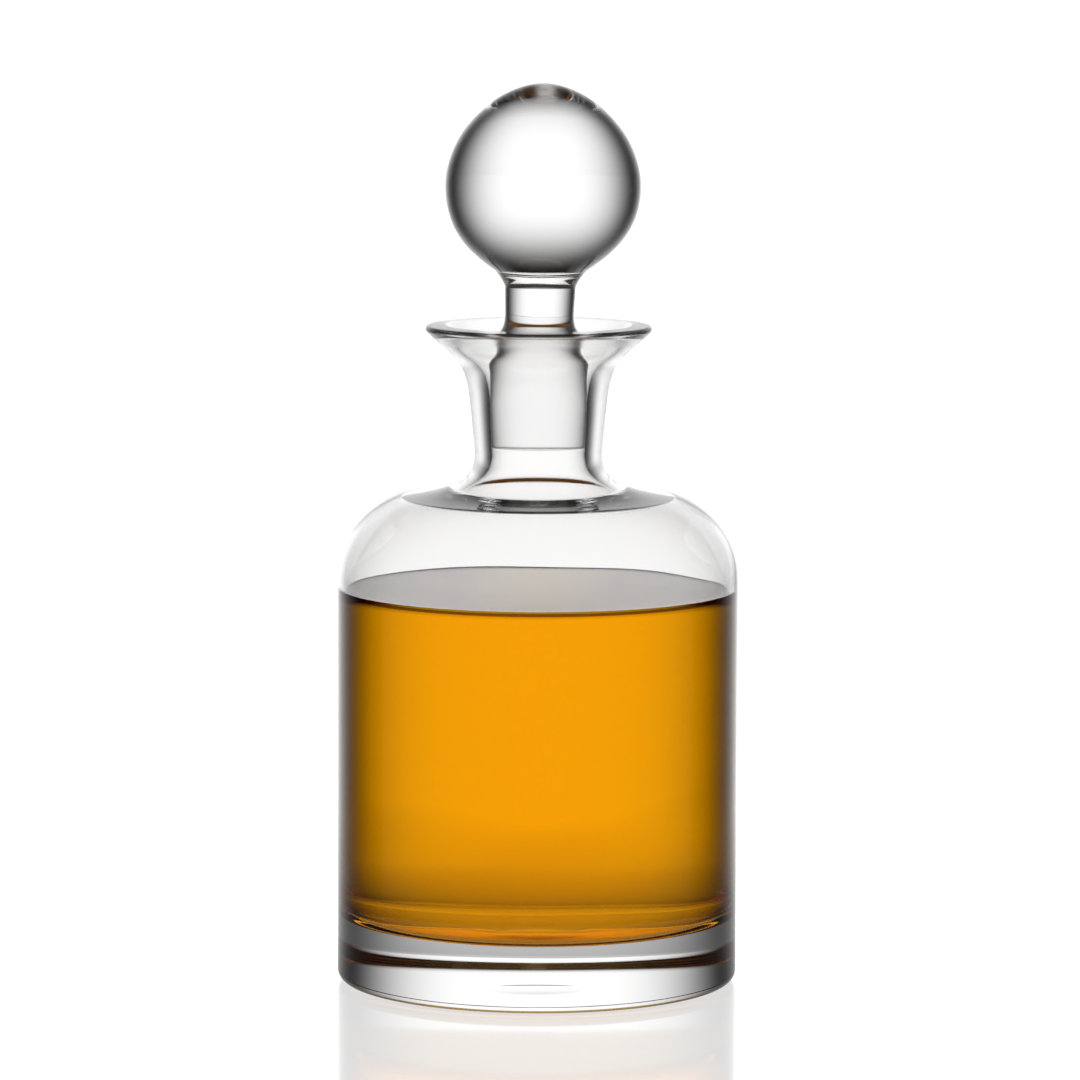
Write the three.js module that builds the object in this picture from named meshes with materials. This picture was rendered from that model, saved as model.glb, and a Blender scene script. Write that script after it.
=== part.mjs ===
// Glass decanter with a ball stopper, holding one fill of amber spirit.
//
// Three separate pieces, all turned about the same upright axis:
//   bottle   one blown glass body: thick base, thin wall, shoulder, thick neck, flared mouth
//   stopper  one solid glass piece: ball, waisted stem and the ground plug that seats in the neck
//   whisky   the liquid inside, a plain solid that fills the bottle up to its level
//
// Units are millimetres. +Z is up and the origin is the middle of the base, where it stands.
// The front of the object faces -Y.

import * as THREE from 'three';

// Body of the bottle, outside.
const BODY_RADIUS = 52.55;
const BODY_STRAIGHT_TOP = 106.3; // height where the straight side ends
const HEEL_RADIUS = 5.3; // rounding between the side and the foot

// Shoulder: an arc that rises from the side, then a gentle deck that runs in to the neck.
const SHOULDER_RUN = 16.3; // how far in the arc goes
const SHOULDER_RISE = 21.9; // how far up the arc goes
const SHOULDER_FULLNESS = 14.95; // how long the arc stays close to upright
const SHOULDER_EASE = 2.8; // how early the arc turns level with the deck
const DECK_SLOPE = 0.09; // rise of the deck for each millimetre inwards

// Ground joint: the plug and its seat in the neck share one taper.
const PLUG_TOP_RADIUS = 13.1;
const PLUG_LENGTH = 22.4;
const PLUG_EDGE_CHAMFER = 0.6;
const JOINT_TAPER = 0.044; // loss of radius for each millimetre downwards
const SEAT_LENGTH = 13.4; // ground part of the bore
const SEAT_BELOW_PLUG = 2.2; // how far the ground part runs on under the plug
const GROUND_CLEARANCE = 0.25; // all round, between the plug and its seat

// Neck, outside: a waist above the deck, a slow taper outwards, then the flared lip.
const WAIST_ABOVE_SHOULDER = 13.6;
const WAIST_WALL = 4.4; // glass round the bore at the waist
const ROOT_SWEEP = 7.9; // how far below the waist the curve into the deck starts
const ROOT_RUN = 2.75; // from the waist out to where that curve turns level with the deck
const NECK_TAPER_LENGTH = 12.05;
const NECK_TAPER_GAIN = 1.3; // growth of the radius over that length
const LIP_FLARE = 11.54; // from the top of the taper out to the widest point of the lip
const LIP_RISE = 18.4; // from the top of the taper up to the widest point of the lip
const LIP_THICKNESS = 2.4; // the outer edge is fully rounded
const LIP_ANGLE = 50; // degrees between the underside of the lip and the level
const FLARE_START_EASE = 12.5; // how long the flare stays close to the taper
const FLARE_END_EASE = 8.2; // how early it takes the angle of the lip

// Mouth: a narrow face on top of the lip, then the funnel down to the ground seat.
const LIP_FACE = 3.6; // from the rounded edge in to the corner of the funnel
const LIP_FACE_RISE = 0.2; // rise of that face
const LIP_CORNER_ROUND = 2.1; // length of the rounding between the face and the funnel
const LIP_CORNER_TURN = 0.62; // share of the funnel's angle at which that rounding runs
const FUNNEL_ANGLE = 46; // degrees between the top of the funnel and the level
const FUNNEL_START_EASE = 8; // how long the funnel stays narrow above the seat
const FUNNEL_START_GAIN = 1.6; // growth of the radius over that length
const FUNNEL_END_EASE = 9; // how early it takes its angle

// Inside of the bottle.
const WALL = 2.1; // at the straight side
const DECK_WALL = 1.5; // from the top of the shoulder's arc down to the inner deck
const INNER_DECK_SLOPE = 0.03; // flatter than outside, so the glass thickens towards the neck
const INNER_DECK_INSET = 5.25; // from the end of the outer arc in to the edge of the inner deck
const INNER_SHOULDER_EASE = 4; // how early the inner arc turns level with the inner deck
const FLOOR_THICKNESS = 15.8; // heavy base
const INNER_CORNER_RADIUS = 7; // between the inner wall and the inner floor
const INNER_ROOT_SWEEP = 5.2; // how long the bore stays upright under the ground part
const INNER_ROOT_RUN = 11.7; // from the bore out to where it has turned level with the deck
const INNER_ROOT_EASE = 5.5; // how early it turns level

// Underside: a small ground and polished hollow where the blowing iron was cracked off.
const PONTIL_RADIUS = 10;
const PONTIL_DEPTH = 0.8;

// Collar and stem of the stopper, above the plug.
const BEVEL_RUN = 1.5; // rounded bevel on top of the plug
const BEVEL_RISE = 3.6;
const BEVEL_START_EASE = 1.7; // how long it stays upright
const BEVEL_END_EASE = 0.5; // how early it leans in
const COLLAR_RISE = 11.9; // from the top of the plug up to the foot of the stem
const COLLAR_START_RUN = 0.8; // how the collar leaves the bevel
const COLLAR_START_RISE = 1.6;
const COLLAR_END_EASE = 4.2; // how long the flare stays close to the stem
const STEM_RADIUS = 9;
const STEM_LENGTH = 7.1;
const STEM_TOP_GAIN = 0.25; // growth of the radius over the stem

// Ball of the stopper, a little pointed on top and drawn in towards the stem.
const BALL_RADIUS = 25.6;
const BALL_UPPER_HEIGHT = 26.9; // from the equator up to the top
const BALL_LOWER_HEIGHT = 21.75; // from the equator down to the fillet of the stem
const BALL_TOP_EASE = 11.7; // how flat the top is
const BALL_UPPER_FULLNESS = 14.4;
const BALL_LOWER_FULLNESS = 12.7;
const BALL_FOOT_GAIN = 3.05; // from the stem out to where the fillet meets the ball
const BALL_FOOT_SLOPE = 0.69;
const BALL_FOOT_EASE = 5;
const FILLET_HEIGHT = 4.6; // from the top of the stem up to where the fillet meets the ball
const FILLET_START_EASE = 0.7;
const FILLET_END_EASE = 1;

// Fill.
const FILL_BELOW_SHOULDER = 1.7; // from the start of the shoulder down to the level
const FILL_CLEARANCE = 0.3; // between the liquid and the glass

// Smoothness of the turned surfaces.
const SEGMENTS = 60;
const CURVE_STEPS = 7;
const ARC_STEPS = 5;
const SMALL_CURVE_STEPS = 4;

// Heights and radii that follow from the sizes above.
const SHOULDER_TOP = BODY_STRAIGHT_TOP + SHOULDER_RISE;
const SHOULDER_TOP_RADIUS = BODY_RADIUS - SHOULDER_RUN;
const INNER_RADIUS = BODY_RADIUS - WALL;
const WAIST = SHOULDER_TOP + WAIST_ABOVE_SHOULDER;
const PLUG_BOTTOM = WAIST;
const PLUG_TOP = PLUG_BOTTOM + PLUG_LENGTH;
const SEAT_BOTTOM = PLUG_BOTTOM - SEAT_BELOW_PLUG;
const SEAT_TOP = SEAT_BOTTOM + SEAT_LENGTH;
const WAIST_RADIUS = seatRadius(WAIST) + WAIST_WALL;
const NECK_TAPER_TOP = WAIST + NECK_TAPER_LENGTH;
const NECK_TAPER_TOP_RADIUS = WAIST_RADIUS + NECK_TAPER_GAIN;
const STEM_BOTTOM = PLUG_TOP + COLLAR_RISE;
const STEM_TOP = STEM_BOTTOM + STEM_LENGTH;
const STEM_TOP_RADIUS = STEM_RADIUS + STEM_TOP_GAIN;
const BALL_FOOT = STEM_TOP + FILLET_HEIGHT;
const BALL_FOOT_RADIUS = STEM_TOP_RADIUS + BALL_FOOT_GAIN;
const BALL_EQUATOR = BALL_FOOT + BALL_LOWER_HEIGHT;
const BALL_TOP = BALL_EQUATOR + BALL_UPPER_HEIGHT;
const FILL_LEVEL = BODY_STRAIGHT_TOP - FILL_BELOW_SHOULDER;

/** Radius of the plug's ground taper at a height. */
function plugRadius(height) {
  return PLUG_TOP_RADIUS - JOINT_TAPER * (PLUG_TOP - height);
}

/** Radius of the ground seat in the neck at a height. */
function seatRadius(height) {
  return plugRadius(height) + GROUND_CLEARANCE;
}

/** A point of a profile: distance from the axis, and height. */
function at(radius, height) {
  return new THREE.Vector2(radius, height);
}

/** The point at a distance from another, in a direction in degrees above the outward one. */
function away(from, distance, degrees) {
  const angle = THREE.MathUtils.degToRad(degrees);
  return at(from.x + distance * Math.cos(angle), from.y + distance * Math.sin(angle));
}

/** Points along a smooth curve between two ends, led by one handle at each end. */
function curve(start, startHandle, endHandle, end, steps = CURVE_STEPS) {
  return new THREE.CubicBezierCurve(start, startHandle, endHandle, end).getPoints(steps);
}

/** Points along a round arc, in degrees above the outward direction. */
function arc(centre, radius, fromDegrees, toDegrees, steps = ARC_STEPS) {
  const from = THREE.MathUtils.degToRad(fromDegrees);
  const to = THREE.MathUtils.degToRad(toDegrees);
  const clockwise = to < from;
  return new THREE.ArcCurve(centre.x, centre.y, radius, from, to, clockwise).getPoints(steps);
}

/** Joins stretches of a profile into one outline without doubled points. */
function join(...stretches) {
  const smallestStep = 1e-4;
  return stretches.flat().filter((point, index, points) => (
    index === 0 || point.distanceTo(points[index - 1]) > smallestStep
  ));
}

/** A solid turned about the Z axis from a profile that starts and ends on the axis. */
function turned(name, profile, material) {
  const geometry = new THREE.LatheGeometry(profile, SEGMENTS);
  geometry.rotateX(Math.PI / 2);
  const mesh = new THREE.Mesh(geometry, material);
  mesh.name = name;
  return mesh;
}

/** The hollow in the middle of the underside: a shallow round cap that ends at the foot. */
function pontil() {
  const capRadius = (PONTIL_RADIUS ** 2 + PONTIL_DEPTH ** 2) / (2 * PONTIL_DEPTH);
  const halfAngle = THREE.MathUtils.radToDeg(Math.asin(PONTIL_RADIUS / capRadius));
  const centre = at(0, PONTIL_DEPTH - capRadius);
  return arc(centre, capRadius, 90, 90 - halfAngle, SMALL_CURVE_STEPS);
}

/** The edge of the mouth, from the end of the flare over the top face to the funnel. */
function lipEdge() {
  const half = LIP_THICKNESS / 2;
  const centre = at(NECK_TAPER_TOP_RADIUS + LIP_FLARE - half, NECK_TAPER_TOP + LIP_RISE);
  const edge = arc(centre, half, LIP_ANGLE - 90, 90);
  const corner = at(centre.x - LIP_FACE, centre.y + half + LIP_FACE_RISE);
  const end = away(corner, -LIP_CORNER_ROUND, FUNNEL_ANGLE * LIP_CORNER_TURN);
  const rounding = curve(
    corner,
    at(corner.x - LIP_CORNER_ROUND / 2, corner.y),
    away(end, LIP_CORNER_ROUND / 2, FUNNEL_ANGLE),
    end,
    SMALL_CURVE_STEPS,
  );
  return join(edge, rounding);
}

/** Outside of the bottle, from the middle of the underside up to where the lip starts. */
function bottleOutside(lipStart) {
  const heel = arc(at(BODY_RADIUS - HEEL_RADIUS, HEEL_RADIUS), HEEL_RADIUS, -90, 0);
  const shoulder = curve(
    at(BODY_RADIUS, BODY_STRAIGHT_TOP),
    at(BODY_RADIUS, BODY_STRAIGHT_TOP + SHOULDER_FULLNESS),
    at(SHOULDER_TOP_RADIUS + SHOULDER_EASE, SHOULDER_TOP - SHOULDER_EASE * DECK_SLOPE),
    at(SHOULDER_TOP_RADIUS, SHOULDER_TOP),
  );
  const rootRadius = WAIST_RADIUS + ROOT_RUN;
  const neckTaper = NECK_TAPER_GAIN / NECK_TAPER_LENGTH;
  const root = curve(
    at(SHOULDER_TOP_RADIUS, SHOULDER_TOP),
    at(rootRadius, SHOULDER_TOP + (SHOULDER_TOP_RADIUS - rootRadius) * DECK_SLOPE),
    at(WAIST_RADIUS - neckTaper * ROOT_SWEEP, WAIST - ROOT_SWEEP),
    at(WAIST_RADIUS, WAIST),
  );
  const flare = curve(
    at(NECK_TAPER_TOP_RADIUS, NECK_TAPER_TOP),
    at(NECK_TAPER_TOP_RADIUS + neckTaper * FLARE_START_EASE, NECK_TAPER_TOP + FLARE_START_EASE),
    away(lipStart, -FLARE_END_EASE, LIP_ANGLE),
    lipStart,
  );
  return join(pontil(), heel, shoulder, root, flare);
}

/** Inside of the bottle, from where the lip ends down to the middle of the inner floor. */
function bottleInside(lipEnd) {
  const funnel = curve(
    lipEnd,
    away(lipEnd, -FUNNEL_END_EASE, FUNNEL_ANGLE),
    at(seatRadius(SEAT_TOP) + FUNNEL_START_GAIN, SEAT_TOP + FUNNEL_START_EASE),
    at(seatRadius(SEAT_TOP), SEAT_TOP),
  );
  const boreRadius = seatRadius(SEAT_BOTTOM);
  const deckRadius = SHOULDER_TOP_RADIUS - INNER_DECK_INSET;
  const deck = (radius) => (
    at(radius, SHOULDER_TOP - DECK_WALL + (deckRadius - radius) * INNER_DECK_SLOPE)
  );
  const innerRoot = curve(
    at(boreRadius, SEAT_BOTTOM),
    at(boreRadius, SEAT_BOTTOM - INNER_ROOT_SWEEP),
    deck(boreRadius + INNER_ROOT_RUN - INNER_ROOT_EASE),
    deck(boreRadius + INNER_ROOT_RUN),
  );
  const innerShoulder = curve(
    deck(deckRadius),
    deck(deckRadius + INNER_SHOULDER_EASE),
    at(INNER_RADIUS, BODY_STRAIGHT_TOP + SHOULDER_FULLNESS - WALL),
    at(INNER_RADIUS, BODY_STRAIGHT_TOP),
  );
  return join(funnel, innerRoot, innerShoulder, innerFoot(0));
}

/** Rounded corner and floor of the inside, or of what lies an inset above them. */
function innerFoot(inset) {
  const centre = at(INNER_RADIUS - INNER_CORNER_RADIUS, FLOOR_THICKNESS + INNER_CORNER_RADIUS);
  const corner = arc(centre, INNER_CORNER_RADIUS - inset, 0, -90);
  return [...corner, at(0, FLOOR_THICKNESS + inset)];
}

/** Profile of the whole bottle. */
function bottleProfile() {
  const lip = lipEdge();
  return join(bottleOutside(lip[0]), lip, bottleInside(lip[lip.length - 1]));
}

/** Profile of the stopper, from the middle of the plug's foot up to the top of the ball. */
function stopperProfile() {
  const plug = [
    at(0, PLUG_BOTTOM),
    at(plugRadius(PLUG_BOTTOM) - PLUG_EDGE_CHAMFER, PLUG_BOTTOM),
    at(plugRadius(PLUG_BOTTOM + PLUG_EDGE_CHAMFER), PLUG_BOTTOM + PLUG_EDGE_CHAMFER),
    at(PLUG_TOP_RADIUS, PLUG_TOP),
  ];
  const shoulder = at(PLUG_TOP_RADIUS - BEVEL_RUN, PLUG_TOP + BEVEL_RISE);
  const bevel = curve(
    at(PLUG_TOP_RADIUS, PLUG_TOP),
    at(PLUG_TOP_RADIUS, PLUG_TOP + BEVEL_START_EASE),
    at(shoulder.x + BEVEL_END_EASE / 2, shoulder.y - BEVEL_END_EASE),
    shoulder,
    SMALL_CURVE_STEPS,
  );
  const collar = curve(
    shoulder,
    at(shoulder.x - COLLAR_START_RUN, shoulder.y + COLLAR_START_RISE),
    at(STEM_RADIUS, STEM_BOTTOM - COLLAR_END_EASE),
    at(STEM_RADIUS, STEM_BOTTOM),
  );
  const foot = at(BALL_FOOT_RADIUS, BALL_FOOT);
  const fillet = curve(
    at(STEM_TOP_RADIUS, STEM_TOP),
    at(STEM_TOP_RADIUS, STEM_TOP + FILLET_START_EASE),
    at(foot.x - FILLET_END_EASE, foot.y - FILLET_END_EASE * BALL_FOOT_SLOPE),
    foot,
    SMALL_CURVE_STEPS,
  );
  const lowerBall = curve(
    foot,
    at(foot.x + BALL_FOOT_EASE, foot.y + BALL_FOOT_EASE * BALL_FOOT_SLOPE),
    at(BALL_RADIUS, BALL_EQUATOR - BALL_LOWER_FULLNESS),
    at(BALL_RADIUS, BALL_EQUATOR),
  );
  const upperBall = curve(
    at(BALL_RADIUS, BALL_EQUATOR),
    at(BALL_RADIUS, BALL_EQUATOR + BALL_UPPER_FULLNESS),
    at(BALL_TOP_EASE, BALL_TOP),
    at(0, BALL_TOP),
  );
  return join(plug, bevel, collar, fillet, lowerBall, upperBall);
}

/** Profile of the liquid, from the middle of its underside up to its level. */
function whiskyProfile() {
  const underside = innerFoot(FILL_CLEARANCE).reverse();
  return join(underside, [at(INNER_RADIUS - FILL_CLEARANCE, FILL_LEVEL), at(0, FILL_LEVEL)]);
}

const CLEAR_GLASS = { color: 0xeef2f3, roughness: 0.05, transparent: true, opacity: 0.35 };
const AMBER_LIQUID = { color: 0xe08a08, roughness: 0.1, transparent: true, opacity: 0.85 };

const decanter = new THREE.Group();
decanter.add(
  turned('bottle', bottleProfile(), new THREE.MeshStandardMaterial(CLEAR_GLASS)),
  turned('stopper', stopperProfile(), new THREE.MeshStandardMaterial(CLEAR_GLASS)),
  turned('whisky', whiskyProfile(), new THREE.MeshStandardMaterial(AMBER_LIQUID)),
);

export default decanter;
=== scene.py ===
"""Glass decanter with a ball stopper and an amber fill, on a glossy white table.

The bottle, the stopper and the liquid are smooth surfaces of revolution that stand in for the
faceted solids of the frame. All sizes are in metres, in the frame's own coordinates: +Z is up,
the origin is the middle of the base, and the front faces -Y.
"""

import logging
from dataclasses import dataclass, field
from enum import Enum

import bpy
import numpy as np
from mathutils import Matrix, Vector


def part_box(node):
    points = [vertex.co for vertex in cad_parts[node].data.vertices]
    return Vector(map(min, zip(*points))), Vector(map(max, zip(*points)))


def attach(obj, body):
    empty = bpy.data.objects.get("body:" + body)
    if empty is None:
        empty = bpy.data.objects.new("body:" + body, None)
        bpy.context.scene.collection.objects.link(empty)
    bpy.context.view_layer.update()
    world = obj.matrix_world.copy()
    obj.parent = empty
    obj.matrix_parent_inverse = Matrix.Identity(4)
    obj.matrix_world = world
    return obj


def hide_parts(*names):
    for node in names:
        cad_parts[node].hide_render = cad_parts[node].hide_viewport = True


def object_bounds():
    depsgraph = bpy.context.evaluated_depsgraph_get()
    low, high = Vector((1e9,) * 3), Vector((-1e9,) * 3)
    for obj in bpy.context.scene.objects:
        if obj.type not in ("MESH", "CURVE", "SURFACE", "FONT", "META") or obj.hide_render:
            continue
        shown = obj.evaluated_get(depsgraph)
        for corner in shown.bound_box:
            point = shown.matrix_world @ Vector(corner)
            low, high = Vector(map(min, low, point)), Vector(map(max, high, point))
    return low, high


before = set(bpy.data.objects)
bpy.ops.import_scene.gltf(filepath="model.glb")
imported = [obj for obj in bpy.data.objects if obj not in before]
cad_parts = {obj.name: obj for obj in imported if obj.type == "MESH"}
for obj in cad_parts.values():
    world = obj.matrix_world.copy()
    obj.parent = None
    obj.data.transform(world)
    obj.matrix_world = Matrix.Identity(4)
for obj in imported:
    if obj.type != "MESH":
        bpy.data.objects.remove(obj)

Array = np.ndarray
Colour = tuple[float, float, float, float]
Band = tuple[float, float, float]
log = logging.getLogger("decanter")

CAD_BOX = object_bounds()


class Around(Enum):
    """How many steps a turned piece has around its axis."""

    FINE = 208
    COARSE = 96


# Profiles and surfaces


def point(radius: float, height: float) -> Array:
    """One point of a profile: distance from the axis, and height."""
    return np.array([[radius, height]])


def bezier(
    start: Array, start_handle: Array, end_handle: Array, end: Array, steps: int = 40
) -> Array:
    """A cubic curve between two points, led by one handle at each end.

    The point at t is the sum of the four given points, weighted by (1-t)^3, 3t(1-t)^2,
    3t^2(1-t) and t^3.

    Args:
        start: First point, as a row of radius and height.
        start_handle: Point that the curve heads for as it leaves.
        end_handle: Point that the curve comes from as it arrives.
        end: Last point.
        steps: Number of stretches that the curve is divided into.

    Returns:
        The points along the curve, one row each.
    """
    t = np.linspace(0.0, 1.0, steps + 1)[:, None]
    weights = ((1 - t) ** 3, 3 * t * (1 - t) ** 2, 3 * t**2 * (1 - t), t**3)
    return sum(w * p for w, p in zip(weights, (start, start_handle, end_handle, end)))


def arc(centre: Array, radius: float, start: float, end: float, steps: int = 16) -> Array:
    """A round arc: the centre plus the radius along the cosine and sine of the angle.

    Args:
        centre: Middle of the arc, as a row of radius and height.
        radius: Radius of the arc.
        start: First angle, in degrees above the outward direction.
        end: Last angle, in degrees above the outward direction.
        steps: Number of stretches that the arc is divided into.

    Returns:
        The points along the arc, one row each.
    """
    angle = np.radians(np.linspace(start, end, steps + 1))
    return centre + radius * np.column_stack([np.cos(angle), np.sin(angle)])


def straight(start: Array, end: Array, steps: int) -> Array:
    """Evenly spaced points on the straight line from one point to another."""
    return start + (end - start) * np.linspace(0.0, 1.0, steps + 1)[:, None]


def away(origin: Array, distance: float, degrees: float) -> Array:
    """The point at a distance from another, in a direction above the outward one."""
    angle = np.radians(degrees)
    return origin + distance * np.array([[np.cos(angle), np.sin(angle)]])


def chain(*stretches: Array) -> Array:
    """Stretches of a profile in one array, with each doubled joint kept once."""
    points = np.vstack(stretches)
    steps = np.linalg.norm(np.diff(points, axis=0), axis=1)
    return points[np.concatenate([[True], steps > 1e-7])]


@dataclass(frozen=True)
class HandWork:
    """The slight unevenness that working by hand leaves in a turned glass surface.

    Attributes:
        depth: Largest change of the radius.
        lobes: Number of slow waves around the axis.
        pitch: Height of one wave along the axis.
        phase: Where the waves start, in radians.
    """

    depth: float
    lobes: int
    pitch: float
    phase: float = 0.0

    def offset(self, angle: Array, height: Array) -> Array:
        """Change of the radius over the surface.

        The sum of three waves: one around the axis that drifts with height, one along the
        axis, and a finer one at a slant.

        Args:
            angle: Angle around the axis of each point, in radians.
            height: Height of each point.

        Returns:
            The change of the radius at each point.
        """
        # The shares of the three waves add up to one, so the depth is never passed.
        climb = 2 * np.pi * height / self.pitch
        slow = np.cos(self.lobes * angle + 0.35 * climb + self.phase)
        rings = np.cos(climb + 1.7 * self.phase)
        slant = np.cos((self.lobes + 3) * angle - 1.6 * climb + 2.3 * self.phase)
        return self.depth * (0.5 * slow + 0.3 * rings + 0.2 * slant)


def turn(profile: Array, steps_around: int, change: Array | None = None) -> Array:
    """A surface of revolution on a grid of height along the profile and angle around.

    A point is the profile's radius times the cosine and sine of the angle, at the
    profile's height.

    Args:
        profile: Rows of radius and height.
        steps_around: Number of steps around the axis.
        change: Change of the radius for each row and angle, or None.

    Returns:
        The grid of points, rows by angles by three.
    """
    angle = angles(steps_around)
    radius = profile[:, :1] + (0.0 if change is None else change)
    radius = np.broadcast_to(radius, (len(profile), steps_around))
    height = np.broadcast_to(profile[:, 1:], radius.shape)
    return np.stack([radius * np.cos(angle), radius * np.sin(angle), height], axis=-1)


def angles(steps_around: int) -> Array:
    """Angles of the columns of a turned grid, in radians."""
    return np.linspace(0.0, 2 * np.pi, steps_around, endpoint=False)


def closed_mesh(name: str, grid: Array) -> bpy.types.Mesh:
    """A mesh from a turned grid whose first and last rows are single points on the axis.

    Quads join neighbouring rows and columns, the last column joins the first one, and a
    fan of triangles closes each pole. Faces point out where the profile runs upwards on
    the outside.

    Args:
        name: Name of the mesh.
        grid: Points, rows by angles by three.

    Returns:
        The closed mesh, with smooth faces.
    """
    rows, around = grid.shape[:2]
    rings = grid[1:-1].reshape(-1, 3)
    vertices = np.vstack([grid[:1, 0], rings, grid[-1:, 0]])
    last = len(vertices) - 1
    column = np.arange(around)
    following = np.roll(column, -1)
    row = (np.arange(rows - 3) * around)[:, None] + 1
    quads = np.stack(
        [row + column, row + following, row + around + following, row + around + column], axis=-1
    ).reshape(-1, 4)
    top_row = (rows - 3) * around + 1
    lower_fan = np.stack([np.zeros_like(column), following + 1, column + 1], axis=-1)
    pole = np.full_like(column, last)
    upper_fan = np.stack([top_row + column, top_row + following, pole], axis=-1)
    corners = np.concatenate([lower_fan.ravel(), quads.ravel(), upper_fan.ravel()])
    sizes = np.concatenate([np.full(around, 3), np.full(len(quads), 4), np.full(around, 3)])
    mesh = bpy.data.meshes.new(name)
    mesh.vertices.add(len(vertices))
    mesh.vertices.foreach_set("co", vertices.astype(np.float32).ravel())
    mesh.loops.add(len(corners))
    mesh.loops.foreach_set("vertex_index", corners.astype(np.int32))
    mesh.polygons.add(len(sizes))
    starts = np.concatenate([[0], np.cumsum(sizes)[:-1]])
    mesh.polygons.foreach_set("loop_start", starts.astype(np.int32))
    mesh.update(calc_edges=True)
    mesh.validate()
    mesh.shade_smooth()
    return mesh


def open_mesh(name: str, grid: Array) -> bpy.types.Mesh:
    """A mesh of one sheet from a grid of points, rows by columns by three."""
    rows, columns = grid.shape[:2]
    corner = (np.arange(rows - 1) * columns)[:, None] + np.arange(columns - 1)
    quads = np.stack([corner, corner + 1, corner + columns + 1, corner + columns], axis=-1)
    mesh = bpy.data.meshes.new(name)
    mesh.from_pydata(grid.reshape(-1, 3), [], quads.reshape(-1, 4))
    mesh.update()
    mesh.shade_smooth()
    return mesh


def placed(name: str, mesh: bpy.types.Mesh, material: bpy.types.Material) -> bpy.types.Object:
    """An object at the origin that shows a mesh in a material."""
    thing = bpy.data.objects.new(name, mesh)
    mesh.materials.append(material)
    bpy.context.scene.collection.objects.link(thing)
    return thing


# Shader parts


@dataclass
class Shader:
    """A material or node group under construction, with short ways to add and join nodes."""

    tree: bpy.types.NodeTree

    def add(self, kind: str, **settings: object) -> bpy.types.Node:
        """Adds a node of a kind and sets its properties."""
        node = self.tree.nodes.new(kind)
        for key, value in settings.items():
            setattr(node, key, value)
        return node

    def join(self, source: bpy.types.NodeSocket, target: bpy.types.NodeSocket) -> None:
        """Links an output to an input."""
        self.tree.links.new(source, target)

    def math(self, operation: str, *values: object) -> bpy.types.NodeSocket:
        """Adds a Math node.

        Args:
            operation: Name of the operation.
            values: Its inputs in order, each a number or an output socket.

        Returns:
            The node's output.
        """
        node = self.add("ShaderNodeMath", operation=operation)
        for socket, value in zip(node.inputs, values):
            if isinstance(value, bpy.types.NodeSocket):
                self.join(value, socket)
            else:
                socket.default_value = value
        return node.outputs[0]


def new_material(name: str) -> tuple[bpy.types.Material, Shader]:
    """An empty node material and the shader to build it with."""
    material = bpy.data.materials.new(name)
    material.use_nodes = True
    material.node_tree.nodes.clear()
    return material, Shader(material.node_tree)


def new_group(
    name: str, inputs: dict[str, float], output: str
) -> tuple[Shader, bpy.types.Node, bpy.types.Node]:
    """An empty node group with number inputs and one number output.

    Args:
        name: Name of the group.
        inputs: Name and first value of each input.
        output: Name of the output.

    Returns:
        The shader to build it with, its input node and its output node.
    """
    tree = bpy.data.node_groups.new(name, "ShaderNodeTree")
    for key, value in inputs.items():
        socket = tree.interface.new_socket(key, in_out="INPUT", socket_type="NodeSocketFloat")
        socket.default_value = value
    tree.interface.new_socket(output, in_out="OUTPUT", socket_type="NodeSocketFloat")
    shader = Shader(tree)
    return shader, shader.add("NodeGroupInput"), shader.add("NodeGroupOutput")


def ground_band_group() -> bpy.types.NodeTree:
    """Mask of a frosted band: 1 between two heights and within a radius, 0 elsewhere.

    The mask is the product of three soft steps, and faint rings of the grinding tool,
    about 0.4 mm high, thin it a little. It reads the piece's own coordinates.

    Returns:
        The node group, with inputs Bottom, Top, Reach, Softness and Rings, and output Mask.
    """
    inputs = {"Bottom": 0.0, "Top": 1.0, "Reach": 1.0, "Softness": 0.0004, "Rings": 0.1}
    shader, given, result = new_group("ground_band", inputs, "Mask")
    place = shader.add("ShaderNodeTexCoord")
    split = shader.add("ShaderNodeSeparateXYZ")
    shader.join(place.outputs["Object"], split.inputs[0])
    x, y, height = split.outputs
    squared = shader.math("ADD", shader.math("MULTIPLY", x, x), shader.math("MULTIPLY", y, y))
    radius = shader.math("SQRT", squared)

    def step(distance: bpy.types.NodeSocket) -> bpy.types.NodeSocket:
        """0 to 1 over the softness as the distance passes zero."""
        ratio = shader.math("DIVIDE", distance, given.outputs["Softness"])
        raised = shader.math("MAXIMUM", shader.math("ADD", ratio, 0.5), 0.0)
        return shader.math("MINIMUM", raised, 1.0)

    above = step(shader.math("SUBTRACT", height, given.outputs["Bottom"]))
    below = step(shader.math("SUBTRACT", given.outputs["Top"], height))
    inside = step(shader.math("SUBTRACT", given.outputs["Reach"], radius))
    stretch = shader.add("ShaderNodeMapping")
    stretch.inputs["Scale"].default_value = (60.0, 60.0, 2600.0)
    shader.join(place.outputs["Object"], stretch.inputs["Vector"])
    rings = shader.add("ShaderNodeTexNoise")
    rings.inputs["Scale"].default_value = 1.0
    rings.inputs["Detail"].default_value = 3.0
    shader.join(stretch.outputs[0], rings.inputs["Vector"])
    thinning = shader.math("MULTIPLY", rings.outputs["Fac"], given.outputs["Rings"])
    kept = shader.math("SUBTRACT", 1.0, thinning)
    band = shader.math("MULTIPLY", shader.math("MULTIPLY", above, below), inside)
    shader.join(shader.math("MULTIPLY", band, kept), result.inputs["Mask"])
    return shader.tree


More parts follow.
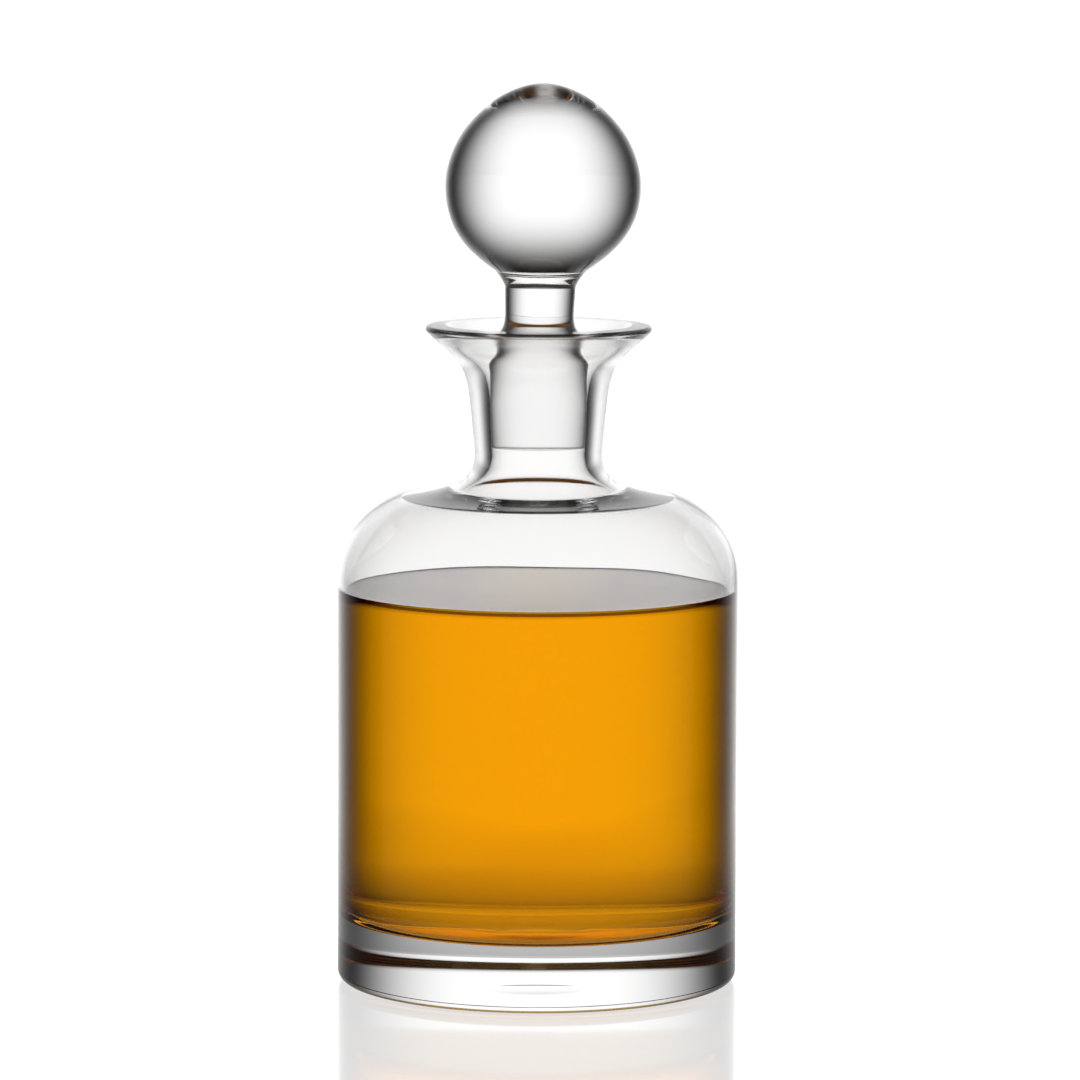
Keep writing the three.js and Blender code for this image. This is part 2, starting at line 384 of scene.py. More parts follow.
def striae_group() -> bpy.types.NodeTree:
    """Height of the faint waves that fire and the blower's tools leave on a glass surface.

    A slow noise stretched along the axis, plus one five times as fine, on the piece's own
    coordinates.

    Returns:
        The node group, with inputs Scale and Fineness, and output Height.
    """
    shader, given, result = new_group("striae", {"Scale": 30.0, "Fineness": 0.2}, "Height")
    place = shader.add("ShaderNodeTexCoord")
    stretch = shader.add("ShaderNodeMapping")
    stretch.inputs["Scale"].default_value = (1.0, 1.0, 0.45)
    shader.join(place.outputs["Object"], stretch.inputs["Vector"])
    slow = shader.add("ShaderNodeTexNoise")
    slow.inputs["Detail"].default_value = 1.0
    shader.join(stretch.outputs[0], slow.inputs["Vector"])
    shader.join(given.outputs["Scale"], slow.inputs["Scale"])
    fine = shader.add("ShaderNodeTexNoise")
    fine.inputs["Detail"].default_value = 2.0
    shader.join(stretch.outputs[0], fine.inputs["Vector"])
    shader.join(shader.math("MULTIPLY", given.outputs["Scale"], 5.0), fine.inputs["Scale"])
    added = shader.math("MULTIPLY", fine.outputs["Fac"], given.outputs["Fineness"])
    shader.join(shader.math("ADD", slow.outputs["Fac"], added), result.inputs["Height"])
    return shader.tree


@dataclass(frozen=True)
class ClearGlass:
    """Finish of clear glass with one frosted band, such as a ground plug or a softened rim.

    Attributes:
        name: Name of the material.
        band: Lowest and highest height and the reach of the frosted band.
        frost: Roughness of the frosted band.
        polish: Roughness everywhere else.
        ior: Refractive index of the glass.
        tint: Colour of the glass.
        band_tint: Colour of the frosted band.
        wave: Depth of the surface waves.
        wave_strength: Share of the waves' slope that shows.
    """

    name: str
    band: Band
    frost: float
    polish: float = 0.0
    ior: float = 1.5
    tint: Colour = (0.998, 0.997, 0.996, 1.0)
    band_tint: Colour = (0.998, 0.994, 0.994, 1.0)
    wave: float = 0.00002
    wave_strength: float = 0.3

    def build(
        self, ground_band: bpy.types.NodeTree, striae: bpy.types.NodeTree
    ) -> bpy.types.Material:
        """The material: clear glass that turns frosted within its band.

        Args:
            ground_band: Node group that masks the frosted band.
            striae: Node group of the surface waves.

        Returns:
            The material.
        """
        material, shader = new_material(self.name)
        glass = shader.add("ShaderNodeBsdfPrincipled")
        glass.inputs["Transmission Weight"].default_value = 1.0
        glass.inputs["IOR"].default_value = self.ior
        output = shader.add("ShaderNodeOutputMaterial")
        shader.join(glass.outputs[0], output.inputs["Surface"])
        mask = shader.add("ShaderNodeGroup", node_tree=ground_band)
        for key, value in zip(("Bottom", "Top", "Reach"), self.band):
            mask.inputs[key].default_value = value
        gain = self.frost - self.polish
        rough = shader.math("MULTIPLY_ADD", mask.outputs["Mask"], gain, self.polish)
        shader.join(rough, glass.inputs["Roughness"])
        tint = shader.add("ShaderNodeMix", data_type="RGBA")
        tint.inputs["A"].default_value = self.tint
        tint.inputs["B"].default_value = self.band_tint
        shader.join(mask.outputs["Mask"], tint.inputs["Factor"])
        shader.join(tint.outputs["Result"], glass.inputs["Base Color"])
        waves = shader.add("ShaderNodeGroup", node_tree=striae)
        bump = shader.add("ShaderNodeBump")
        bump.inputs["Strength"].default_value = self.wave_strength
        bump.inputs["Distance"].default_value = self.wave
        shader.join(waves.outputs["Height"], bump.inputs["Height"])
        shader.join(bump.outputs["Normal"], glass.inputs["Normal"])
        return material


@dataclass(frozen=True)
class AmberSpirit:
    """Finish of the liquid: coloured where light enters and by the way it then goes.

    Attributes:
        level: Height of the liquid's surface, which is clear itself.
        name: Name of the material.
        ior: Refractive index of the spirit.
        density: Loss of light for each metre of a colour that is fully absorbed.
        colour: Colour that the absorption leaves.
        surface_tint: Colour of the liquid's surface.
        skin: Colour that the liquid's sides and floor give, from strongest to weakest.
        skin_scale: Fineness of the waves between those two.
        rim: Colour of the dark rim just under the surface, a painted shade.
        rim_shade_depth: How deep that painted shade goes.
    """

    level: float
    name: str = "amber_spirit"
    ior: float = 1.36
    density: float = 120.0
    colour: Colour = (1.0, 0.97, 0.0, 1.0)
    surface_tint: Colour = (1.0, 0.99, 0.96, 1.0)
    skin: tuple[Colour, Colour] = ((1.0, 0.52, 0.02, 1.0), (1.0, 0.56, 0.02, 1.0))
    skin_scale: float = 18.0
    rim: Colour = (0.15, 0.05, 0.005, 1.0)
    rim_shade_depth: float = 0.0008

    def build(self, striae: bpy.types.NodeTree) -> bpy.types.Material:
        """The material: water-clear surface over an absorbing volume.

        Args:
            striae: Node group whose slow waves stand for the liquid's uneven strength.

        Returns:
            The material.
        """
        material, shader = new_material(self.name)
        surface = shader.add("ShaderNodeBsdfPrincipled")
        surface.inputs["Transmission Weight"].default_value = 1.0
        surface.inputs["IOR"].default_value = self.ior
        surface.inputs["Roughness"].default_value = 0.0
        waves = shader.add("ShaderNodeGroup", node_tree=striae)
        waves.inputs["Scale"].default_value = self.skin_scale
        tint = shader.add("ShaderNodeMix", data_type="RGBA")
        tint.inputs["A"].default_value, tint.inputs["B"].default_value = self.skin
        shader.join(waves.outputs["Height"], tint.inputs["Factor"])
        place = shader.add("ShaderNodeTexCoord")
        split = shader.add("ShaderNodeSeparateXYZ")
        shader.join(place.outputs["Object"], split.inputs[0])
        # Dark ring on the liquid's side just under its surface: painted shade.
        edge = shader.add("ShaderNodeMix", data_type="RGBA")
        edge.inputs["B"].default_value = self.rim
        near = shader.math("GREATER_THAN", split.outputs["Z"], self.level - self.rim_shade_depth)
        shader.join(near, edge.inputs["Factor"])
        shader.join(tint.outputs["Result"], edge.inputs["A"])
        top = shader.math("GREATER_THAN", split.outputs["Z"], self.level)
        clear = shader.add("ShaderNodeMix", data_type="RGBA")
        clear.inputs["B"].default_value = self.surface_tint
        shader.join(top, clear.inputs["Factor"])
        shader.join(edge.outputs["Result"], clear.inputs["A"])
        shader.join(clear.outputs["Result"], surface.inputs["Base Color"])
        body = shader.add("ShaderNodeVolumeAbsorption")
        body.inputs["Color"].default_value = self.colour
        body.inputs["Density"].default_value = self.density
        output = shader.add("ShaderNodeOutputMaterial")
        shader.join(surface.outputs[0], output.inputs["Surface"])
        shader.join(body.outputs[0], output.inputs["Volume"])
        return material


# The object's pieces


@dataclass
class GroundJoint:
    """The taper that the plug and its seat in the neck share.

    Attributes:
        plug_bottom: Height of the foot of the plug.
        plug_length: Length of the ground plug.
        plug_top_radius: Radius of the plug at its top.
        taper: Loss of radius for each unit downwards.
        seat_below: How far the seat runs on under the plug.
        seat_length: Length of the ground seat.
        clearance: Play between the two ground surfaces.
    """

    plug_bottom: float
    plug_length: float = 0.0224
    plug_top_radius: float = 0.0131
    taper: float = 0.044
    seat_below: float = 0.0022
    seat_length: float = 0.0134
    clearance: float = 0.00012

    @property
    def plug_top(self) -> float:
        """Height of the top of the ground plug."""
        return self.plug_bottom + self.plug_length

    @property
    def seat_bottom(self) -> float:
        """Height of the foot of the seat."""
        return self.plug_bottom - self.seat_below

    @property
    def seat_top(self) -> float:
        """Height of the top of the seat."""
        return self.seat_bottom + self.seat_length

    def plug_radius(self, height: float) -> float:
        """Radius of the plug at a height."""
        return self.plug_top_radius - self.taper * (self.plug_top - height)

    def seat_radius(self, height: float) -> float:
        """Radius of the seat at a height."""
        return self.plug_radius(height) + self.clearance


@dataclass
class Bottle:
    """The blown body: heavy base, thin wall, shoulder, thick neck and flared lip.

    In the names of the sizes a run is a width and a rise a height. An ease, a fullness or a
    sweep is the length of a curve's handle, and a share is one of the length it goes with.
    """

    joint: GroundJoint
    radius: float
    straight_top: float = 0.1063
    heel_radius: float = 0.0028
    shoulder_run: float = 0.0163
    shoulder_rise: float = 0.0219
    shoulder_fullness: float = 0.01495
    shoulder_ease: float = 0.0028
    deck_slope: float = 0.09
    waist_wall: float = 0.00453
    root_sweep: float = 0.0079
    root_run: float = 0.00275
    taper_length: float = 0.01205
    taper_gain: float = 0.0013
    lip_flare: float = 0.01154
    lip_rise: float = 0.0184
    lip_thickness: float = 0.0019
    lip_angle: float = 50.0
    lip_face: float = 0.0036
    lip_face_rise: float = 0.0002
    lip_inner_round: float = 0.0013
    round_length_share: float = 1.6
    round_start_share: float = 0.8
    round_end_share: float = 0.7
    round_turn_share: float = 0.62
    funnel_angle: float = 46.0
    flare_start_ease: float = 0.0125
    flare_end_ease: float = 0.0082
    wall: float = 0.0021
    deck_wall: float = 0.0013
    floor_thickness: float = 0.0164
    inner_corner: float = 0.010
    inner_root_sweep: float = 0.0052
    inner_root_run: float = 0.0117
    inner_root_ease: float = 0.0055
    inner_deck_inset: float = 0.0005
    inner_deck_slope: float = 0.03
    inner_shoulder_ease: float = 0.002
    inner_fullness_share: float = 0.8
    funnel_start_ease: float = 0.009
    funnel_start_gain: float = 0.0008
    funnel_end_ease: float = 0.009
    pontil_radius: float = 0.01
    pontil_depth: float = 0.0004
    rim_height: float = 0.0292
    rim_top: float = 0.19
    rim_reach: float = 0.04
    outside_work: HandWork = field(default_factory=lambda: HandWork(0.00004, 3, 0.05, 0.4))
    inside_work: HandWork = field(default_factory=lambda: HandWork(0.00012, 2, 0.034, 1.1))

    @property
    def inner_radius(self) -> float:
        """Radius of the inside of the straight wall."""
        return self.radius - self.wall

    @property
    def shoulder_top(self) -> float:
        """Height where the shoulder's arc ends and the deck starts."""
        return self.straight_top + self.shoulder_rise

    @property
    def shoulder_top_radius(self) -> float:
        """Radius where the shoulder's arc ends."""
        return self.radius - self.shoulder_run

    @property
    def rim_band(self) -> Band:
        """Band of the lip's softened rim, from above the funnel to past the lip."""
        return (self.joint.plug_bottom + self.rim_height, self.rim_top, self.rim_reach)

    def underside(self) -> Array:
        """Profile of the foot, from the middle of the polished hollow out to the heel."""
        cap = (self.pontil_radius**2 + self.pontil_depth**2) / (2 * self.pontil_depth)
        half = np.degrees(np.arcsin(self.pontil_radius / cap))
        hollow = arc(point(0, self.pontil_depth - cap), cap, 90, 90 - half, 12)
        heel_centre = point(self.radius - self.heel_radius, self.heel_radius)
        heel = arc(heel_centre, self.heel_radius, -90, 0, 28)
        flat = straight(point(self.pontil_radius, 0), heel[:1], 8)
        return chain(hollow, flat, heel)

    def lip(self) -> Array:
        """Profile of the rounded edge of the mouth."""
        waist = self.joint.plug_bottom
        top_radius = self.joint.seat_radius(waist) + self.waist_wall + self.taper_gain
        half = self.lip_thickness / 2
        widest = waist + self.taper_length + self.lip_rise
        centre = point(top_radius + self.lip_flare - half, widest)
        edge = arc(centre, half, self.lip_angle - 90, 90, 20)
        corner = edge[-1:] + point(-self.lip_face, self.lip_face_rise)
        length = self.lip_inner_round * self.round_length_share
        end = away(corner, -length, self.funnel_angle * self.round_turn_share)
        rounding = bezier(
            corner,
            corner - point(self.lip_inner_round * self.round_start_share, 0),
            away(end, self.lip_inner_round * self.round_end_share, self.funnel_angle),
            end,
            12,
        )
        return chain(edge, rounding)

    def outside(self, lip_start: Array) -> Array:
        """Profile of the outside, from the heel's end up to where the lip starts."""
        edge = point(self.shoulder_top_radius, self.shoulder_top)
        shoulder = bezier(
            point(self.radius, self.straight_top),
            point(self.radius, self.straight_top + self.shoulder_fullness),
            edge + point(self.shoulder_ease, -self.shoulder_ease * self.deck_slope),
            edge,
        )
        waist = self.joint.plug_bottom
        waist_radius = self.joint.seat_radius(waist) + self.waist_wall
        root_radius = waist_radius + self.root_run
        deck_run = self.shoulder_top_radius - root_radius
        slope = self.taper_gain / self.taper_length
        root = bezier(
            edge,
            point(root_radius, self.shoulder_top + deck_run * self.deck_slope),
            point(waist_radius, waist) - self.root_sweep * point(slope, 1),
            point(waist_radius, waist),
            56,
        )
        top = point(waist_radius + self.taper_gain, waist + self.taper_length)
        flare = bezier(
            top,
            top + self.flare_start_ease * point(slope, 1),
            away(lip_start, -self.flare_end_ease, self.lip_angle),
            lip_start,
            48,
        )
        side = straight(point(self.radius, self.heel_radius), shoulder[:1], 24)
        return chain(side, shoulder, root, straight(root[-1:], top, 12), flare)

    def inside(self, lip_end: Array) -> Array:
        """Profile of the inside, from where the lip ends down to the middle of the floor."""
        joint = self.joint
        seat_top = point(joint.seat_radius(joint.seat_top), joint.seat_top)
        seat_bottom = point(joint.seat_radius(joint.seat_bottom), joint.seat_bottom)
        funnel = bezier(
            lip_end,
            away(lip_end, -self.funnel_end_ease, self.funnel_angle),
            seat_top + point(self.funnel_start_gain, self.funnel_start_ease),
            seat_top,
            48,
        )
        level = point(1, -self.inner_deck_slope)
        deck = point(
            self.shoulder_top_radius - self.inner_deck_inset, self.shoulder_top - self.deck_wall
        )
        ceiling = deck - (deck[0, 0] - seat_bottom[0, 0] - self.inner_root_run) * level
        root = bezier(
            seat_bottom,
            seat_bottom - point(0, self.inner_root_sweep),
            ceiling - self.inner_root_ease * level,
            ceiling,
            48,
        )
        fullness = self.shoulder_fullness - self.inner_fullness_share * self.wall
        shoulder = bezier(
            deck,
            deck + self.inner_shoulder_ease * level,
            point(self.inner_radius, self.straight_top + fullness),
            point(self.inner_radius, self.straight_top),
        )
        foot = self.floor(0.0)
        side = straight(shoulder[-1:], foot[:1], 24)
        seat = straight(seat_top, seat_bottom, 10)
        return chain(funnel, seat, root, straight(ceiling, deck, 12), shoulder, side, foot)

    def floor(self, inset: float) -> Array:
        """Rounded corner and floor of the inside, or of what lies an inset above them."""
        centre = point(
            self.inner_radius - self.inner_corner, self.floor_thickness + self.inner_corner
        )
        corner = arc(centre, self.inner_corner - inset, 0, -90, 24)
        return chain(corner, straight(corner[-1:], point(0, self.floor_thickness + inset), 10))

    def build(self, material: bpy.types.Material) -> bpy.types.Object:
        """The bottle's object.

        The radius changes by the handwork of the outside up to the lip and by that of the
        inside after it, less near the ground seat, which is true. Outside, the handwork
        only takes away, so the glass stays within the frame's own box.

        Args:
            material: Glass of the bottle.

        Returns:
            The finished piece.
        """
        lip = self.lip()
        outside = chain(self.underside(), self.outside(lip[:1]))
        inside = chain(lip, self.inside(lip[-1:]))
        profile = chain(outside, inside)
        steps = Around.FINE.value
        around = angles(steps)[None, :]
        height = profile[:, 1:]
        is_outside = (np.arange(len(profile)) < len(outside))[:, None]
        change = np.where(
            is_outside,
            self.outside_work.offset(around, height) - self.outside_work.depth,
            self.inside_work.offset(around, height),
        )
        change = change * self.true_near_fits(profile)[:, None]
        grid = turn(profile, steps, change)
        return placed("bottle_glass", closed_mesh("bottle_glass", grid), material)

    def true_near_fits(self, profile: Array) -> Array:
        """Share of the handwork along the profile: none on the foot, the seat or the axis.

        Three shares rise evenly from 0 to 1: over 10 mm from 2 mm above the foot, over
        20 mm from 4 mm off the axis, and in the neck over 20 mm from 12 mm above or under
        the foot of the plug. The result is their product.

        Args:
            profile: Rows of radius and height.

        Returns:
            The share for each row.
        """
        radius, height = profile.T
        off_foot = np.clip((height - 0.002) / 0.01, 0, 1)
        off_axis = np.clip((radius - 0.004) / 0.02, 0, 1)
        off_seat = np.clip(np.abs(height - self.joint.plug_bottom) / 0.02 - 0.6, 0, 1)
        return off_foot * off_axis * np.where(radius < 0.03, off_seat, 1.0)


@dataclass
class Stopper:
    """The solid stopper: ground plug, flared collar, waisted stem and ball."""

    joint: GroundJoint
    plug_chamfer: float = 0.0003
    bevel_ease: float = 0.0017
    bevel_run: float = 0.0019
    bevel_rise: float = 0.006
    bevel_end: tuple[float, float] = (0.0003, -0.0005)
    collar_rise: float = 0.0119
    collar_start: tuple[float, float] = (-0.0008, 0.0016)
    collar_end_ease: float = 0.0042
    stem_radius: float = 0.009
    stem_length: float = 0.0071
    stem_top_gain: float = 0.00025
    ball_radius: float = 0.0256
    ball_upper_height: float = 0.0269
    ball_lower_height: float = 0.02175
    ball_top_ease: float = 0.0117
    ball_upper_fullness: float = 0.0144
    ball_lower_fullness: float = 0.0127
    ball_foot_gain: float = 0.00305
    ball_foot_slope: float = 0.69
    ball_foot_ease: float = 0.005
    fillet_height: float = 0.0046
    fillet_start_ease: float = 0.0007
    fillet_end_ease: float = 0.001
    lean: float = 0.00103
    frost_below: float = 0.001
    frost_above: float = 0.009
    frost_reach: float = 0.0145
    work: HandWork = field(default_factory=lambda: HandWork(0.00005, 2, 0.06, 2.0))

    @property
    def plug_band(self) -> Band:
        """Band of the ground plug, from just under its foot up over the bevel."""
        return (
            self.joint.plug_bottom - self.frost_below,
            self.joint.plug_top + self.frost_above,
            self.frost_reach,
        )

    def plug(self) -> Array:
        """Profile of the plug, from the middle of its foot up to its top."""
        joint = self.joint
        rim = joint.plug_radius(joint.plug_bottom)
        edge = arc(
            point(rim - self.plug_chamfer, joint.plug_bottom + self.plug_chamfer),
            self.plug_chamfer, -90, 0, 8,
        )
        foot = straight(point(0, joint.plug_bottom), edge[:1], 10)
        side = straight(edge[-1:], point(joint.plug_top_radius, joint.plug_top), 20)
        return chain(foot, edge, side)

    def collar_and_stem(self) -> Array:
        """Profile from the top of the plug up to the top of the stem."""
        joint = self.joint
        top = point(joint.plug_top_radius, joint.plug_top)
        shoulder = top + point(-self.bevel_run, self.bevel_rise)
        stem_bottom = point(self.stem_radius, joint.plug_top + self.collar_rise)
        bevel = bezier(
            top,
            top + point(0, self.bevel_ease),
            shoulder + point(*self.bevel_end),
            shoulder,
            14,
        )
        collar = bezier(
            shoulder,
            shoulder + point(*self.collar_start),
            stem_bottom - point(0, self.collar_end_ease),
            stem_bottom,
            28,
        )
        stem_top = stem_bottom + point(self.stem_top_gain, self.stem_length)
        return chain(bevel, collar, straight(stem_bottom, stem_top, 10))

    def ball(self, stem_top: Array) -> Array:
        """Profile of the fillet and the ball, from the top of the stem up to the axis."""
        foot = stem_top + point(self.ball_foot_gain, self.fillet_height)
        equator = point(self.ball_radius, foot[0, 1] + self.ball_lower_height)
        top = point(0, equator[0, 1] + self.ball_upper_height)
        fillet = bezier(
            stem_top,
            stem_top + point(0, self.fillet_start_ease),
            foot - self.fillet_end_ease * point(1, self.ball_foot_slope),
            foot,
            20,
        )
        lower = bezier(
            foot,
            foot + self.ball_foot_ease * point(1, self.ball_foot_slope),
            equator - point(0, self.ball_lower_fullness),
            equator,
            56,
        )
        upper = bezier(
            equator,
            equator + point(0, self.ball_upper_fullness),
            top + point(self.ball_top_ease, 0),
            top,
            56,
        )
        return chain(fillet, lower, upper)

    def build(self, material: bpy.types.Material) -> bpy.types.Object:
        """The stopper's object.

        Above the plug the axis moves to the right by a smooth step of the height, which
        ends at the ball's equator.

        Args:
            material: Glass of the stopper.

        Returns:
            The finished piece.
        """
        shank = self.collar_and_stem()
        ball = self.ball(shank[-1:])
        profile = chain(self.plug(), shank, ball)
        steps = Around.FINE.value
        height = profile[:, 1:]
        over_plug = height - self.joint.plug_top
        above = np.clip(over_plug / (height.max() - self.joint.plug_top), 0, 1)
        change = self.work.offset(angles(steps)[None, :], height) * above
        change *= np.clip(profile[:, :1] / self.ball_radius, 0, 1)
        grid = turn(profile, steps, change)
        equator = ball[ball[:, 0].argmax(), 1]
        rise = np.clip(over_plug / (equator - self.joint.plug_top), 0, 1)
        grid[..., 0] += self.lean * rise**2 * (3 - 2 * rise)
        return placed("stopper_glass", closed_mesh("stopper_glass", grid), material)


@dataclass
class Fill:
    """The liquid, which wets the glass and climbs it a little at its edge.

    Attributes:
        bottle: Bottle that holds it.
        level: Height of the top of the frame's own solid.
        sag: How far the middle of the surface lies under that.
        wetting: How far the liquid reaches into the glass.
        climb: Rise of the surface at the wall.
        climb_reach: Distance over which the rise falls to a third.
        rings: Number of rings in the surface.
        gathering: Power by which the rings gather towards the wall.
        surface_margin: How far under the middle of the surface its clear tint starts.
    """

    bottle: Bottle
    level: float
    sag: float = 0.0008
    wetting: float = 0.00012
    climb: float = 0.0003
    climb_reach: float = 0.0012
    rings: int = 90
    gathering: float = 1.6
    surface_margin: float = 0.0002

    @property
    def clear_from(self) -> float:
        """Height over which the liquid has the clear tint of its surface."""
        return self.level - self.sag - self.surface_margin

    def build(self, material: bpy.types.Material) -> bpy.types.Object:
        """The liquid's object.

        It reaches a little into the glass, so that no air shows between them. The surface
        is level in the middle and rises towards the wall by the climb times the
        exponential of minus the distance from the wall over the reach.

        Args:
            material: Finish of the liquid.

        Returns:
            The finished piece.
        """
        under = self.bottle.floor(-self.wetting)[::-1]
        wall = self.bottle.inner_radius + self.wetting
        steps = np.linspace(0.0, 1.0, self.rings) ** self.gathering
        distance = steps * wall
        height = self.level - self.sag + self.climb * np.exp(-distance / self.climb_reach)
        surface = np.column_stack([wall - distance, height])
        side = straight(under[-1:], surface[:1], 24)
        profile = chain(under, side, surface)
        grid = turn(profile, Around.FINE.value)
        return placed("amber_liquid", closed_mesh("amber_liquid", grid), material)


# The studio


@dataclass(frozen=True)
class Table:
    """Table top of glossy white sheet that the decanter stands on.

    Seen directly the sheet is evenly white and mirrors a little. Seen through the glass it
    glows dimly near the decanter, a painted shade of the floor there, and clears away from
    the decanter to let the back light through.

    Attributes:
        reach: Radius of the table top.
        drop: How far it lies under the base.
        white: Brightness that the camera sees.
        shine: Share of the light that the sheet mirrors at a low angle, seen directly.
        dim_shine: The same, seen through the glass.
        roughness: Roughness of the mirror.
        painted_shade: Brightness of the dim glow near the decanter, painted shade of the floor
            seen through the glass.
        clear: Share of the sheet that is clear near the decanter and away from it.
        clearing: Distances between which it clears.
    """

    reach: float = 3.0
    drop: float = 0.00015
    white: float = 1.15
    shine: float = 0.55
    dim_shine: float = 0.2
    roughness: float = 0.06
    painted_shade: float = 0.12
    clear: tuple[float, float] = (0.25, 1.0)
    clearing: tuple[float, float] = (0.05, 0.3)

    def build(self) -> bpy.types.Object:
        """The table's object, a flat disc just under the base."""
        rings = np.linspace(0.0, self.reach, 3)
        profile = np.column_stack([rings, np.full_like(rings, -self.drop)])
        grid = turn(profile, Around.COARSE.value)
        grid = np.concatenate([grid, grid[:, :1]], axis=1)
        return placed("table", open_mesh("table", grid[:, ::-1]), self.material())

    def material(self) -> bpy.types.Material:
        """Finish of the table: even white seen directly, painted shade near the decanter through
        glass.
        """
        material, shader = new_material("white_table")
        path = shader.add("ShaderNodeLightPath")
        fresnel = shader.add("ShaderNodeFresnel")
        fresnel.inputs["IOR"].default_value = 1.5
        mirror = shader.add("ShaderNodeBsdfGlossy")
        mirror.inputs["Roughness"].default_value = self.roughness

        white = shader.add("ShaderNodeEmission")
        white.inputs["Strength"].default_value = self.white
        share = shader.math("MULTIPLY", fresnel.outputs[0], 2 * self.shine)
        direct = self.mix(shader, share, white, mirror)

        place = shader.add("ShaderNodeTexCoord")
        length = shader.add("ShaderNodeVectorMath", operation="LENGTH")
        shader.join(place.outputs["Object"], length.inputs[0])
        clear = shader.add("ShaderNodeMapRange")
        ends = dict(zip(("From Min", "From Max", "To Min", "To Max"), self.clearing + self.clear))
        for key, value in ends.items():
            clear.inputs[key].default_value = value
        shader.join(length.outputs["Value"], clear.inputs["Value"])
        # Dim glow near the decanter, seen only through the glass: painted shade of the floor.
        painted_shade = shader.add("ShaderNodeEmission")
        painted_shade.inputs["Strength"].default_value = self.painted_shade
        sheet = self.mix(shader, clear.outputs[0], painted_shade, shader.add("ShaderNodeBsdfTransparent"))
        dim_share = shader.math("MULTIPLY", fresnel.outputs[0], 2 * self.dim_shine)
        indirect = self.mix(shader, dim_share, sheet, mirror)

        both = self.mix(shader, path.outputs["Is Camera Ray"], indirect, direct)
        output = shader.add("ShaderNodeOutputMaterial")
        shader.join(both.outputs[0], output.inputs["Surface"])
        return material

    @staticmethod
    def mix(
        shader: Shader,
        share: bpy.types.NodeSocket,
        first: bpy.types.Node,
        second: bpy.types.Node,
    ) -> bpy.types.Node:
        """Adds a mix of two shaders, with the given share of the second."""
        mixed = shader.add("ShaderNodeMixShader")
        shader.join(share, mixed.inputs[0])
        shader.join(first.outputs[0], mixed.inputs[1])
        shader.join(second.outputs[0], mixed.inputs[2])
        return mixed


@dataclass(frozen=True)
class LightPanel:
    """A bowed sheet of light behind the decanter, with soft edges.

    Attributes:
        name: Name of the panel.
        brightness: Brightness in the middle.
        sides: Azimuth where its light has faded to a third, and how sharply it fades.
        above: The same for the elevation over the middle.
        below: The same for the elevation under the middle.
        spread: Half of the azimuth and of the elevation that the sheet covers, in degrees.
        distance: Distance from the decanter.
    """

    name: str = "back_panel"
    brightness: float = 1.16
    sides: tuple[float, float] = (37.2, 3.2)
    above: tuple[float, float] = (29.0, 2.9)
    below: tuple[float, float] = (60.0, 3.0)
    spread: tuple[float, float] = (80.0, 75.0)
    distance: float = 1.5

    def build(self, centre: Vector) -> bpy.types.Object:
        """The panel's object.

        The sheet is part of a sphere. Its brightness is the middle's times the exponential
        of minus the sum of two powers: of the azimuth over its reach, and of the elevation
        over its reach.

        Args:
            centre: Middle of the decanter.

        Returns:
            The panel, with its brightness stored on its points.
        """
        across = np.linspace(-self.spread[0], self.spread[0], 91)
        up = np.linspace(-self.spread[1], self.spread[1], 73)
        azimuth, elevation = np.meshgrid(across, up)
        fade = (np.abs(azimuth) / self.sides[0]) ** self.sides[1]
        fade += np.where(
            elevation > 0,
            (np.abs(elevation) / self.above[0]) ** self.above[1],
            (np.abs(elevation) / self.below[0]) ** self.below[1],
        )
        light = self.brightness * np.exp(-fade)
        a, e = np.radians(azimuth), np.radians(elevation)
        ray = np.stack([np.sin(a) * np.cos(e), np.cos(a) * np.cos(e), np.sin(e)], axis=-1)
        mesh = open_mesh(self.name, self.distance * ray + np.array(centre))
        stored = mesh.attributes.new("brightness", "FLOAT", "POINT")
        stored.data.foreach_set("value", light.astype(np.float32).ravel())
        return placed(self.name, mesh, self.material())

    def material(self) -> bpy.types.Material:
        """Light of the brightness stored on the panel's points."""
        material, shader = new_material(self.name)
        material.cycles.emission_sampling = "NONE"
        stored = shader.add("ShaderNodeAttribute", attribute_name="brightness")
        light = shader.add("ShaderNodeEmission")
        shader.join(stored.outputs["Fac"], light.inputs["Strength"])
        output = shader.add("ShaderNodeOutputMaterial")
        shader.join(light.outputs[0], output.inputs["Surface"])
        return material


@dataclass(frozen=True)
class PhotoCamera:
    """The camera: a long lens, a little above the lip, looking slightly down."""

    aim: tuple[float, float, float] = (0.00053, 0.0, 0.11662)
    distance: float = 1.655
    pitch: float = 6.7
    roll: float = 0.2
    lens: float = 210.0

    def build(self) -> bpy.types.Object:
        """The camera's object, set as the scene's camera."""
        data = bpy.data.cameras.new("camera")
        data.lens = self.lens
        data.sensor_width = 36.0
        data.clip_start = 0.01
        data.clip_end = 30.0
        camera = bpy.data.objects.new("camera", data)
        tilt = np.radians(self.pitch)
        back = Vector((0.0, -np.cos(tilt), np.sin(tilt)))
        turned = (-back).to_track_quat("-Z", "Y").to_matrix().to_4x4()
        rolled = Matrix.Rotation(np.radians(self.roll), 4, "Z")
        place = Matrix.Translation(Vector(self.aim) + back * self.distance)
        camera.matrix_world = place @ turned @ rolled
        bpy.context.scene.collection.objects.link(camera)
        bpy.context.scene.camera = camera
        return camera


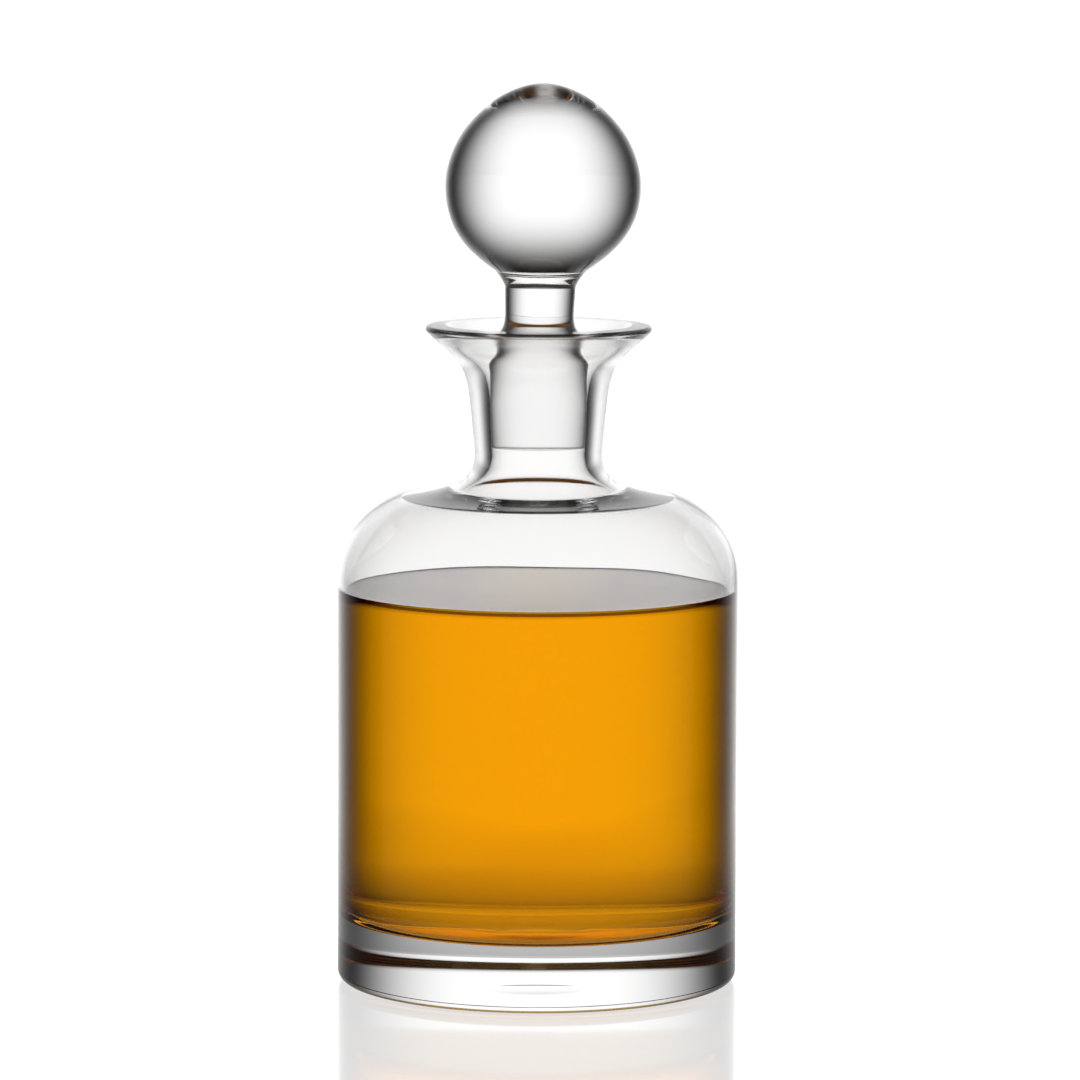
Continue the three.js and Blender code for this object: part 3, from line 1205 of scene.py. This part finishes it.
@dataclass
class Studio:
    """Table, light panels, room and camera around the decanter."""

    centre: Vector
    room: float = 0.04
    panels: tuple[LightPanel, ...] = (LightPanel(),)

    def build(self) -> None:
        """Builds the table, the room's light, the camera, and the panels that turn with it."""
        scene = bpy.context.scene
        scene.view_settings.view_transform = "Standard"
        scene.cycles.max_bounces = 24
        scene.cycles.transmission_bounces = 24
        scene.cycles.glossy_bounces = 12
        world = bpy.data.worlds.new("room")
        world.use_nodes = True
        world.node_tree.nodes["Background"].inputs["Color"].default_value = (1.0, 1.0, 1.0, 1.0)
        world.node_tree.nodes["Background"].inputs["Strength"].default_value = self.room
        scene.world = world
        camera = PhotoCamera().build()
        bpy.context.view_layer.update()
        for panel in self.panels:
            sheet = panel.build(self.centre)
            sheet.parent = camera
            sheet.matrix_parent_inverse = camera.matrix_world.inverted()
        Table().build()
        log.info("studio: table, %d panels, camera", len(self.panels))


def ride_in_place_of(piece: bpy.types.Object, node: str, body: str) -> None:
    """Lets a finished piece stand for a node of the frame and move with its body."""
    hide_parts(node)
    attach(piece, body)
    log.info("%s: %d points, in place of %s", piece.name, len(piece.data.vertices), node)


def main() -> None:
    """Builds the finishes, the three pieces and the studio, in that order."""
    logging.basicConfig(level=logging.INFO, format="%(message)s")
    ground_band, striae = ground_band_group(), striae_group()
    bottle_box, whisky_box, stopper_box = map(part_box, ("bottle", "whisky", "stopper"))
    joint = GroundJoint(plug_bottom=stopper_box[0][2])
    bottle = Bottle(joint, radius=bottle_box[1][0])
    stopper = Stopper(joint)
    fill = Fill(bottle, level=whisky_box[1][2])

    softened = ClearGlass("bottle_glass", bottle.rim_band, frost=0.18)
    ground = ClearGlass("stopper_glass", stopper.plug_band, frost=0.13)
    bottle_glass = softened.build(ground_band, striae)
    stopper_glass = ground.build(ground_band, striae)
    spirit = AmberSpirit(fill.clear_from).build(striae)

    ride_in_place_of(bottle.build(bottle_glass), "bottle", "bottle")
    ride_in_place_of(stopper.build(stopper_glass), "stopper", "stopper")
    ride_in_place_of(fill.build(spirit), "whisky", "bottle")

    low, high = CAD_BOX
    Studio(centre=(low + high) / 2).build()


if __name__ == "__main__":
    main()
